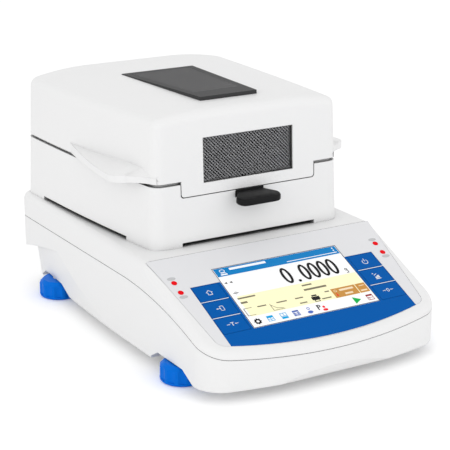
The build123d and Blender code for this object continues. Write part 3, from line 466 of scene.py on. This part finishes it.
def make_metals():
    """Metal finishes by name: colour, colour of the lines, roughness and how far the lines are drawn out."""
    recipes = {
        "sheet_steel": ((0.66, 0.66, 0.67), (0.5, 0.5, 0.51), 0.3, (12.0, 1100.0, 1100.0)),
        "carrier_steel": ((0.66, 0.66, 0.67), (0.52, 0.52, 0.53), 0.26, (1100.0, 12.0, 1100.0)),
        "cell_aluminium": ((0.78, 0.78, 0.79), (0.66, 0.66, 0.67), 0.32, (700.0, 25.0, 700.0)),
        "mesh_dark": ((0.5, 0.5, 0.505), (0.42, 0.42, 0.425), 0.5, (300.0, 300.0, 300.0)),
    }
    return {name: metal(name, *recipe) for name, recipe in recipes.items()}


def make_finishes():
    """Every finish of the instrument by name."""
    finishes = {**make_plastics(), **make_metals()}
    finishes["board_green"] = board_material()
    finishes["quartz"] = glass_material("quartz", (0.97, 0.98, 0.985), 0.02)
    finishes["window_pane"] = glass_material("window_pane", (0.8, 0.8, 0.81), 0.02, 1.2)
    finishes["level_glass"] = glass_material("level_glass", (0.62, 0.85, 0.25), 0.03)
    finishes["display_glass"] = printed("display_white", (0.93, 0.935, 0.94), 0.16, SCREEN_GLOW)
    return finishes


def dress_nodes(finishes):
    """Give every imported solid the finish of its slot, and the window its own pane."""
    for part in frame["record"]["subparts"]:
        solid = nodes[part["node"]]
        solid.data.materials.clear()
        solid.data.materials.append(finishes[part["material_slot"]])
    nodes["window_glass"].data.materials[0] = finishes["window_pane"]


# Mesh helpers


def finish_mesh(name, bm, smooth=True):
    """Turn a bmesh into an object at the origin."""
    mesh = bpy.data.meshes.new(name)
    bm.to_mesh(mesh)
    bm.free()
    if smooth:
        mesh.shade_smooth()
    piece = bpy.data.objects.new(name, mesh)
    bpy.context.scene.collection.objects.link(piece)
    return piece


def panel_matrix(height):
    """From panel millimetres (x, up the slope) to the row frame, at a height over the slope."""
    up = Vector((0, math.cos(PANEL_TILT), math.sin(PANEL_TILT)))
    normal = Vector((0, -math.sin(PANEL_TILT), math.cos(PANEL_TILT)))
    origin = SCREEN_TOP + normal * height * mm
    turn = Matrix((Vector((1, 0, 0)), up, normal)).transposed().to_4x4()
    return Matrix.Translation(origin) @ turn @ Matrix.Scale(mm, 4)


def turn_verts(bm, verts, degrees, axis):
    """Turn vertices about an axis through the origin."""
    matrix = Matrix.Rotation(math.radians(degrees), 3, axis)
    bmesh.ops.rotate(bm, verts=verts, matrix=matrix, cent=(0, 0, 0))


def thicken(bm, faces, offset):
    """Extrude flat faces by an offset into solid pieces."""
    grown = bmesh.ops.extrude_face_region(bm, geom=faces)
    moved = [v for v in grown["geom"] if isinstance(v, bmesh.types.BMVert)]
    bmesh.ops.translate(bm, verts=moved, vec=offset)


def bar(bm, x, s, width, height, turn=0.0):
    """Flat bar, its middle at x across and s down the slope."""
    made = bmesh.ops.create_grid(bm, x_segments=1, y_segments=1, size=0.5)["verts"]
    bmesh.ops.scale(bm, verts=made, vec=(width, height, 1))
    turn_verts(bm, made, turn, "Z")
    bmesh.ops.translate(bm, verts=made, vec=(x, -s, 0))


def oval(bm, x, s, width, height, sides=24, turn=0.0):
    """Flat oval or, with few sides, a regular polygon."""
    made = bmesh.ops.create_circle(bm, cap_ends=True, segments=sides, radius=0.5)["verts"]
    turn_verts(bm, made, turn, "Z")
    bmesh.ops.scale(bm, verts=made, vec=(width, height, 1))
    bmesh.ops.translate(bm, verts=made, vec=(x, -s, 0))


def ring(bm, x, s, width, height, stroke, sides=28, opening=0):
    """Oval ring; opening leaves out that many steps at its top."""
    outer = bmesh.ops.create_circle(bm, cap_ends=False, segments=sides, radius=0.5)["verts"]
    inner = bmesh.ops.create_circle(bm, cap_ends=False, segments=sides, radius=0.5)["verts"]
    bmesh.ops.scale(bm, verts=outer, vec=(width, height, 1))
    bmesh.ops.scale(bm, verts=inner, vec=(width - 2 * stroke, height - 2 * stroke, 1))
    bmesh.ops.translate(bm, verts=outer + inner, vec=(x, -s, 0))
    rims = set(outer) | set(inner)
    loops = [e for e in bm.edges if e.verts[0] in rims and e.verts[1] in rims]
    faces = bmesh.ops.bridge_loops(bm, edges=loops)["faces"]
    if opening:
        centre = Vector((x, -s, 0))
        offsets = {f: f.calc_center_median() - centre for f in faces}
        faces.sort(key=lambda f: abs(math.atan2(offsets[f].x, offsets[f].y)))
        bmesh.ops.delete(bm, geom=faces[: 2 * opening], context="FACES")


def frame_bars(bm, x, s, width, height, stroke):
    """Outline of a rectangle from four bars."""
    bar(bm, x, s - height / 2 + stroke / 2, width, stroke)
    bar(bm, x, s + height / 2 - stroke / 2, width, stroke)
    bar(bm, x - width / 2 + stroke / 2, s, stroke, height)
    bar(bm, x + width / 2 - stroke / 2, s, stroke, height)


def laid_print(name, bm, material, body, level):
    """Give flat artwork a little thickness and lay it on the panel slope."""
    bmesh.ops.recalc_face_normals(bm, faces=bm.faces)
    under = [f for f in bm.faces if f.normal.z < 0]
    bmesh.ops.reverse_faces(bm, faces=under)
    thicken(bm, bm.faces[:], (0, 0, PRINT_THICKNESS))
    bmesh.ops.recalc_face_normals(bm, faces=bm.faces)
    bmesh.ops.transform(bm, matrix=panel_matrix(level), verts=bm.verts)
    piece = finish_mesh(name, bm, smooth=False)
    piece.data.materials.append(material)
    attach(piece, body)


# Screen picture. Places are in mm: across from the middle, then down from the screen's top edge.


def art(name, colour, level, draw):
    """One colour of the screen's picture, at a height in mm over the glass."""
    bm = bmesh.new()
    draw(bm)
    laid_print(name, bm, printed("ink_" + name, colour, glow=SCREEN_GLOW), "base", level)


def draw_header(bm):
    """Blue band along the top."""
    bar(bm, 0, 5.2, 2 * SCREEN_HALF - 2.0, 8.8)


def draw_header_marks(bm):
    """Dots, bars and a round mark on the band."""
    for s in (2.7, 5.1, 7.5):
        oval(bm, 51.4, s, 1.3, 1.3, 12)
    bar(bm, -26, 3.3, 32, 2.3)
    bar(bm, 30, 7.6, 46, 0.7)
    bar(bm, -48.6, 7.9, 5.6, 1.3)
    ring(bm, -48.6, 4.0, 4.6, 3.4, 0.5, 16)
    bar(bm, -48.6, 6.2, 4.2, 0.6)


def draw_info_fields(bm):
    """Pale yellow field of the drying data."""
    bar(bm, 1.4, 43.6, 105.6, 22.2)


def draw_warm_fields(bm):
    """Two orange fields at its right end."""
    bar(bm, 34.3, 49.7, 21.6, 10.0)
    bar(bm, 50.1, 49.7, 8.6, 10.0)


def draw_warm_marks(bm):
    """Bars on the orange fields."""
    bar(bm, 36.5, 47.4, 12.5, 2.0)
    bar(bm, 36.5, 52.0, 7.0, 1.8)
    bar(bm, 50.6, 47.2, 4.6, 0.7)
    bar(bm, 50.0, 52.4, 5.6, 1.5)
    ring(bm, 26.6, 47.4, 2.6, 2.6, 0.4, 14)


def draw_readout(bm):
    """Plain weight readout with its unit, and the small signs at its left."""
    for x in (-1.6, 14.6, 23.0, 31.4, 39.8):
        ring(bm, x, 21.7, 7.9, 17.6, 2.3, 32)
    oval(bm, 6.2, 29.4, 2.7, 2.7, 16)
    ring(bm, 48.8, 27.6, 2.2, 2.6, 0.55, 16)
    bar(bm, 49.7, 29.0, 0.55, 4.6)
    bar(bm, 48.7, 31.2, 2.0, 0.55)
    oval(bm, -52.0, 17.0, 3.0, 2.4, 3, 90)
    oval(bm, -47.6, 17.0, 3.0, 2.4, 3, 90)
    bar(bm, -51.6, 28.7, 1.8, 0.35)
    bar(bm, -48.4, 28.7, 1.8, 0.35)
    ring(bm, -50.0, 28.7, 1.7, 2.6, 0.35, 14)
    oval(bm, -51.0, 28.7, 1.2, 1.2, 3, -90)
    oval(bm, -49.0, 28.7, 1.2, 1.2, 3, 90)


def draw_info_marks(bm):
    """Bars in place of words, and two small graphs."""
    bar(bm, -44.6, 35.0, 15.0, 1.5)
    bar(bm, -49.2, 39.8, 5.6, 1.9)
    bar(bm, 8.2, 35.2, 8.6, 1.5)
    bar(bm, 13.0, 40.0, 20.0, 1.9)
    bar(bm, -38.0, 46.6, 7.6, 1.2)
    bar(bm, -20.8, 46.6, 9.0, 1.2)
    bar(bm, -5.4, 46.6, 7.0, 1.2)
    bar(bm, -4.6, 52.2, 6.4, 1.2)
    bar(bm, 19.8, 46.0, 4.0, 1.2)
    bar(bm, 16.0, 52.4, 8.4, 1.2)
    bar(bm, -53.2, 49.8, 0.5, 8.0)
    bar(bm, -49.8, 46.0, 6.6, 0.5)
    bar(bm, -49.8, 53.6, 6.6, 0.4)
    bar(bm, -31.2, 50.0, 0.5, 7.4)
    bar(bm, -26.4, 53.6, 9.6, 0.5)
    bar(bm, -29.2, 49.8, 5.6, 0.5, -48)
    bar(bm, -25.2, 52.2, 5.2, 0.5, -12)


def draw_printer(bm):
    """Black icons: a printer, a gear wheel, and a stem with a round head."""
    bar(bm, 7.4, 50.2, 7.0, 3.4)
    bar(bm, 7.4, 47.3, 4.6, 1.5)
    bar(bm, 7.4, 53.0, 4.6, 2.2)
    ring(bm, -49.2, 60.6, 5.0, 5.0, 1.3, 24)
    for k in range(8):
        turn = math.radians(45 * k)
        bar(bm, -49.2 + 2.5 * math.cos(turn), 60.6 + 2.5 * math.sin(turn), 1.1, 1.1, -45 * k)
    bar(bm, 3.2, 60.0, 0.9, 5.4)
    ring(bm, 4.5, 58.7, 3.0, 2.8, 0.8, 16)


def draw_printer_gap(bm):
    """Paper in the printer icon."""
    bar(bm, 7.4, 53.0, 3.2, 1.1)


def draw_cyan_icons(bm):
    """Two grid icons."""
    bar(bm, -38.2, 58.4, 5.4, 1.8)
    frame_bars(bm, -38.2, 61.2, 5.4, 4.0, 0.45)
    bar(bm, -38.2, 61.2, 0.4, 4.0)
    bar(bm, -38.2, 61.2, 5.2, 0.4)
    frame_bars(bm, -26.8, 59.4, 5.4, 3.6, 0.45)
    bar(bm, -26.8, 59.4, 0.4, 3.6)
    bar(bm, -26.8, 62.6, 5.4, 2.0)


def draw_violet_icons(bm):
    """Grid icon, and a head with shoulders."""
    frame_bars(bm, -16.2, 60.7, 5.2, 5.6, 0.5)
    bar(bm, -16.2, 58.6, 5.0, 1.6)
    for x in (-17.6, -15.0):
        bar(bm, x, 61.6, 0.6, 3.4)
    for s in (60.8, 62.2):
        bar(bm, -16.2, s, 5.0, 0.5)
    ring(bm, -4.8, 58.8, 2.6, 2.8, 0.5, 16)
    oval(bm, -4.8, 62.6, 4.6, 3.0, 16)


def draw_red_icons(bm):
    """Head with shoulders, and a stem with a bulb."""
    oval(bm, 8.2, 60.4, 2.2, 2.4, 16)
    oval(bm, 8.2, 63.4, 4.2, 2.4, 16)
    oval(bm, 26.2, 52.2, 1.6, 1.6, 12)
    bar(bm, 26.2, 50.8, 0.7, 2.4)


def draw_green_icon(bm):
    """Start arrow."""
    oval(bm, 37.6, 60.8, 8.4, 8.4, 3, -90)


def draw_table_icon(bm):
    """Dark red grid icon."""
    frame_bars(bm, 50.2, 60.7, 5.6, 6.0, 0.45)
    bar(bm, 50.2, 58.6, 5.4, 1.6)
    bar(bm, 50.2, 61.2, 5.4, 0.4)
    bar(bm, 49.0, 62.0, 0.4, 3.4)


def draw_screen_edge(bm):
    """Thin dark rim round the picture."""
    frame_bars(bm, 0, SCREEN_LENGTH / 2, 2 * SCREEN_HALF - 0.1, SCREEN_LENGTH - 0.1, 0.5)


def make_screen_picture():
    """The picture that the display shows, with bars in place of words."""
    art("screen_header", (0.002, 0.2, 0.52), 0.02, draw_header)
    art("screen_header_marks", (0.9, 0.93, 0.96), 0.06, draw_header_marks)
    art("screen_info_fields", (0.96, 0.92, 0.6), 0.02, draw_info_fields)
    art("screen_warm_fields", (0.56, 0.27, 0.06), 0.05, draw_warm_fields)
    art("screen_warm_marks", (0.88, 0.72, 0.5), 0.08, draw_warm_marks)
    art("screen_readout", (0.005, 0.005, 0.006), 0.03, draw_readout)
    art("screen_info_marks", (0.2, 0.18, 0.12), 0.05, draw_info_marks)
    art("screen_dark_icons", (0.01, 0.01, 0.012), 0.05, draw_printer)
    art("screen_printer_paper", (0.96, 0.92, 0.6), 0.08, draw_printer_gap)
    art("screen_cyan_icons", (0.0, 0.36, 0.72), 0.04, draw_cyan_icons)
    art("screen_violet_icons", (0.08, 0.15, 0.5), 0.04, draw_violet_icons)
    art("screen_red_icons", (0.85, 0.01, 0.02), 0.09, draw_red_icons)
    art("screen_green_icon", (0.0, 0.42, 0.07), 0.04, draw_green_icon)
    art("screen_table_icon", (0.34, 0.02, 0.03), 0.04, draw_table_icon)
    art("screen_edge", (0.06, 0.07, 0.09), 0.02, draw_screen_edge)


# Key pictures and panel marks, in the same places as the screen picture


def home_mark(bm, x, s):
    """House."""
    bar(bm, x, s + 2.2, 3.4, 0.5)
    for side in (-1, 1):
        bar(bm, x + side * 1.6, s + 1.0, 0.5, 2.6)
        bar(bm, x + side * 1.25, s - 1.35, 3.6, 0.5, -side * 42)


def door_mark(bm, x, s):
    """Arrow into a frame."""
    frame_bars(bm, x + 1.0, s, 3.2, 5.0, 0.45)
    bar(bm, x - 1.6, s, 3.4, 0.5)
    oval(bm, x - 2.9, s, 2.0, 2.0, 3, 90)


def tare_mark(bm, x, s):
    """Letter T between two arrows."""
    bar(bm, x, s - 1.3, 2.8, 0.6)
    bar(bm, x, s + 0.2, 0.6, 3.4)
    for side in (-1, 1):
        bar(bm, x + side * 3.6, s + 0.2, 2.4, 0.45)
        oval(bm, x + side * 2.6, s + 0.2, 1.5, 1.5, 3, side * 90)


def power_mark(bm, x, s):
    """Open ring with a stroke."""
    ring(bm, x, s + 0.4, 5.2, 5.2, 0.55, 28, 3)
    bar(bm, x, s - 1.6, 0.55, 3.2)


def lid_mark(bm, x, s):
    """Stacked bars, a slanted bar and a pointer."""
    bar(bm, x, s + 3.0, 4.8, 0.8)
    bar(bm, x, s + 1.4, 4.0, 1.4)
    bar(bm, x + 1.0, s - 0.1, 2.0, 1.0)
    bar(bm, x - 0.6, s - 1.7, 3.2, 0.5, 28)
    oval(bm, x - 2.2, s - 3.0, 1.7, 1.7, 3, 0)


def zero_mark(bm, x, s):
    """Zero between two arrows."""
    ring(bm, x, s, 2.4, 3.6, 0.5, 20)
    for side in (-1, 1):
        bar(bm, x + side * 3.6, s, 2.4, 0.45)
        oval(bm, x + side * 2.6, s, 1.5, 1.5, 3, side * 90)


def make_key_marks(white):
    """White pictures on the six keys, which travel with them."""
    marks = [
        ("key_home", home_mark, -69.5, 23.1),
        ("key_enter", door_mark, -69.4, 40.6),
        ("key_tare", tare_mark, -69.0, 57.6),
        ("key_power", power_mark, 69.4, 23.4),
        ("key_lid", lid_mark, 69.4, 40.9),
        ("key_zero", zero_mark, 69.0, 57.4),
    ]
    for key, draw, x, s in marks:
        bm = bmesh.new()
        draw(bm, x, s)
        laid_print(key + "_mark", bm, white, key, 0.01)


def make_panel_lines(white, shade):
    """Thin light lines between the keys, and grey ovals of painted shade for the small hollows at the
    sensors.
    """
    bm = bmesh.new()
    for side in (-1, 1):
        for s in (31.75, 49.35):
            bar(bm, side * 69.6, s, 23.2, 0.6)
    laid_print("key_lines", bm, white, "base", 0.01)
    bm = bmesh.new()
    # Grey ovals: painted shade of the small hollows beside the sensor lenses.
    for x in (-90.5, 90.5):
        for s in (1.9, 22.2):
            oval(bm, x, s, 7.0, 3.4, 24)
    laid_print("sensor_hollow_shades", bm, shade, "base", 0.01)


# Pieces of the lid


def add_block(bm, size, middle, lean=0.0):
    """Block of a size in metres, leaned about X and set at its middle."""
    made = bmesh.ops.create_cube(bm, size=1)["verts"]
    bmesh.ops.scale(bm, verts=made, vec=size)
    turn_verts(bm, made, lean, "X")
    bmesh.ops.translate(bm, verts=made, vec=middle)


def round_edges(bm, edges, radius, segments):
    """Round edges off by a radius in metres."""
    bmesh.ops.bevel(
        bm, geom=edges, offset=radius, segments=segments, profile=0.5, affect="EDGES", material=-1
    )


def make_window_lattice(finish):
    """Wire screen: broad strands down to the right, thin ones across them."""
    strand_pitch = 2.0 * mm
    strand_thickness = 0.25 * mm
    # Each layer: turn in degrees, width of a strand, height.
    layers = ((-45, 0.85 * mm, 0.0), (45, 0.36 * mm, -strand_thickness))
    window_lean = 90 - 2.2
    past_corner = 1.45
    low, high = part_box("window_mesh")
    across = high.x - low.x
    tall = high.z - low.z
    reach = (across + tall) / 2 * past_corner
    count = int(reach / strand_pitch)
    bm = bmesh.new()
    for turn, width, height in layers:
        for k in range(-count, count + 1):
            made = bmesh.ops.create_grid(bm, x_segments=1, y_segments=1, size=0.5)["verts"]
            bmesh.ops.scale(bm, verts=made, vec=(2 * reach, width, 1))
            bmesh.ops.translate(bm, verts=made, vec=(0, k * strand_pitch, height))
            turn_verts(bm, made, turn, "Z")
    for axis, half in (((1, 0, 0), across / 2), ((0, 1, 0), tall / 2)):
        for side in (-1, 1):
            normal = Vector(axis) * side
            geom = bm.verts[:] + bm.edges[:] + bm.faces[:]
            bmesh.ops.bisect_plane(bm, geom=geom, plane_co=normal * half, plane_no=normal, clear_outer=True)
    bmesh.ops.recalc_face_normals(bm, faces=bm.faces)
    thicken(bm, bm.faces[:], (0, 0, strand_thickness))
    bmesh.ops.recalc_face_normals(bm, faces=bm.faces)
    turn_verts(bm, bm.verts, window_lean, "X")
    bmesh.ops.translate(bm, verts=bm.verts, vec=(low + high) / 2)
    piece = finish_mesh("window_lattice", bm, smooth=False)
    piece.data.materials.append(finish)
    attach(piece, "lid")
    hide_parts("window_mesh")


def make_louvres(finish):
    """Thin slanted blades in the slots of the vent plate, which widens and drops to the rear."""
    blade_count = 28
    blade_thickness = 0.55 * mm
    blade_height = 2.2 * mm
    blade_lean = 32
    blade_sink = 0.95 * mm
    blade_edge = 0.12 * mm
    front_border = 20 * mm
    rear_border = 6 * mm
    side_border = 6.3
    plate_half = 25.4
    plate_widening = 8.2
    plate_drop = 1.93 * mm
    low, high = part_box("vent_cover")
    first = low.y + front_border
    last = high.y - rear_border
    pitch = (last - first) / blade_count
    bm = bmesh.new()
    for k in range(blade_count):
        y = first + (k + 0.5) * pitch
        share = (y - low.y) / (high.y - low.y)
        half = (plate_half + plate_widening * share - side_border) * mm
        top = high.z - share * plate_drop
        add_block(bm, (2 * half, blade_thickness, blade_height), (0, y, top - blade_sink), blade_lean)
    round_edges(bm, bm.edges[:], blade_edge, 2)
    bmesh.ops.recalc_face_normals(bm, faces=bm.faces)
    piece = finish_mesh("vent_louvres", bm, smooth=False)
    # The blades' lighter grey finish is a painted highlight of their lit edges.
    piece.data.materials.append(finish)
    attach(piece, "lid")


def make_handle(finish):
    """Paddle that widens from its neck and slopes down to the front, with softened rims."""
    root = -44.2
    underside = 111.2 * mm
    thickness = 5.2 * mm
    fall = 0.11
    rim_radius = 1.2 * mm
    between_faces = 112 * mm
    low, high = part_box("lid_handle")
    tip = low.y / mm + 0.1
    right = [
        (12.0, root),
        (13.2, root - 2.6),
        (16.0, root - 6.0),
        (18.8, root - 10.0),
        (18.9, tip + 5.5),
        (17.8, tip + 2.4),
        (15.4, tip + 0.6),
        (12.4, tip),
    ]
    outline = right + [(-x, y) for x, y in reversed(right)]
    bm = bmesh.new()
    face = bm.faces.new([bm.verts.new((x * mm, y * mm, underside)) for x, y in outline])
    thicken(bm, [face], (0, 0, thickness))
    slope = Matrix.Identity(4)
    slope[2][1] = fall
    slope[2][3] = -fall * root * mm
    bmesh.ops.transform(bm, matrix=slope, verts=bm.verts)
    # A rim has both ends in the upper face or both in the lower one, and lies forward of the root.
    rims = [e for e in bm.edges if (e.verts[0].co.z > between_faces) == (e.verts[1].co.z > between_faces)]
    rims = [e for e in rims if e.verts[0].co.y + e.verts[1].co.y < 2 * (root - 0.5) * mm]
    round_edges(bm, rims, rim_radius, 4)
    neck = ((24.0, 10.0, 5.6), (0, root + 5.0, 115.0))
    plate = ((24.0, 3.4, 10.8), (0, high.y / mm - 1.8, high.z / mm - 5.5))
    for size, middle in (neck, plate):
        add_block(bm, [c * mm for c in size], [c * mm for c in middle])
    bmesh.ops.recalc_face_normals(bm, faces=bm.faces)
    piece = finish_mesh("handle_paddle", bm)
    piece.data.set_sharp_from_angle(angle=math.radians(35))
    piece.data.materials.append(finish)
    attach(piece, "lid")
    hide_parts("lid_handle")


def make_grip_tops(finish):
    """Smooth upper faces of the two finger grips, from their rims up to the lid's wall."""
    rim = [
        (-91.0, 92, 139.5),
        (-94.0, 76, 138.4),
        (-97.0, 60, 137.4),
        (-100.4, 41, 136.6),
        (-103.0, 22, 136.1),
        (-104.9, 5, 135.8),
        (-105.6, -8, 135.7),
        (-104.9, -14.2, 135.7),
        (-103.3, -18.2, 135.7),
        (-99.6, -21.6, 135.7),
        (-95.0, -23.4, 135.7),
        (-91.2, -26.0, 135.7),
        (-87.9, -29.2, 135.7),
        (-80.2, -41, 135.7),
    ]
    root = [
        (-88.0, 90, 139.6),
        (-88.0, 76, 139.8),
        (-88.0, 60, 140.0),
        (-87.8, 41, 140.2),
        (-87.2, 22, 140.5),
        (-86.4, 5, 140.9),
        (-85.4, -8, 141.5),
        (-84.8, -13, 141.8),
        (-84.0, -17, 142.0),
        (-83.0, -21, 142.1),
        (-82.0, -25, 142.2),
        (-80.6, -29, 142.1),
        (-79.0, -33, 141.9),
        (-73.0, -40, 140.9),
    ]
    into_wall = (1.6 * mm, 0, -2.5 * mm)
    bm = bmesh.new()
    for line in (rim, root):
        chain = [bm.verts.new([c * mm for c in line[0]])]
        for point in line[1:]:
            grown = bmesh.ops.extrude_vert_indiv(bm, verts=chain[-1:])
            chain.append(grown["verts"][0])
            chain[-1].co = [c * mm for c in point]
    bmesh.ops.bridge_loops(bm, edges=bm.edges[:])
    thicken(bm, bm.faces[:], into_wall)
    copy = bmesh.ops.duplicate(bm, geom=bm.verts[:] + bm.edges[:] + bm.faces[:])
    other = [v for v in copy["geom"] if isinstance(v, bmesh.types.BMVert)]
    bmesh.ops.scale(bm, verts=other, vec=(-1, 1, 1))
    bmesh.ops.recalc_face_normals(bm, faces=bm.faces)
    piece = finish_mesh("grip_tops", bm)
    piece.data.set_sharp_from_angle(angle=math.radians(40))
    piece.data.materials.append(finish)
    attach(piece, "lid")


place_camera()
white_sky()
white_floor()
place_lamp("key_lamp", (-1.6, -1.0, 0.8), 1.6, 5.5)
place_lamp("fill_lamp", (1.1, -1.6, 0.8), 1.6, 3.6)
place_lamp("top_lamp", (0.2, 0.5, 2.2), 1.8, 1.0)

finishes = make_finishes()
dress_nodes(finishes)
white_ink = printed("ink_white", (0.86, 0.88, 0.9))
# Grey of the painted shade in the small hollows at the sensors.
hollow_shade_ink = printed("ink_hollow_shade", (0.58, 0.585, 0.595))
make_screen_picture()
make_key_marks(white_ink)
make_panel_lines(white_ink, hollow_shade_ink)
make_window_lattice(finishes["mesh_dark"])
make_louvres(finishes["louvre_highlight_grey"])
make_grip_tops(finishes["casing_white"])
make_handle(finishes["black_plastic"])

scene = bpy.context.scene
scene.view_settings.view_transform = "Standard"
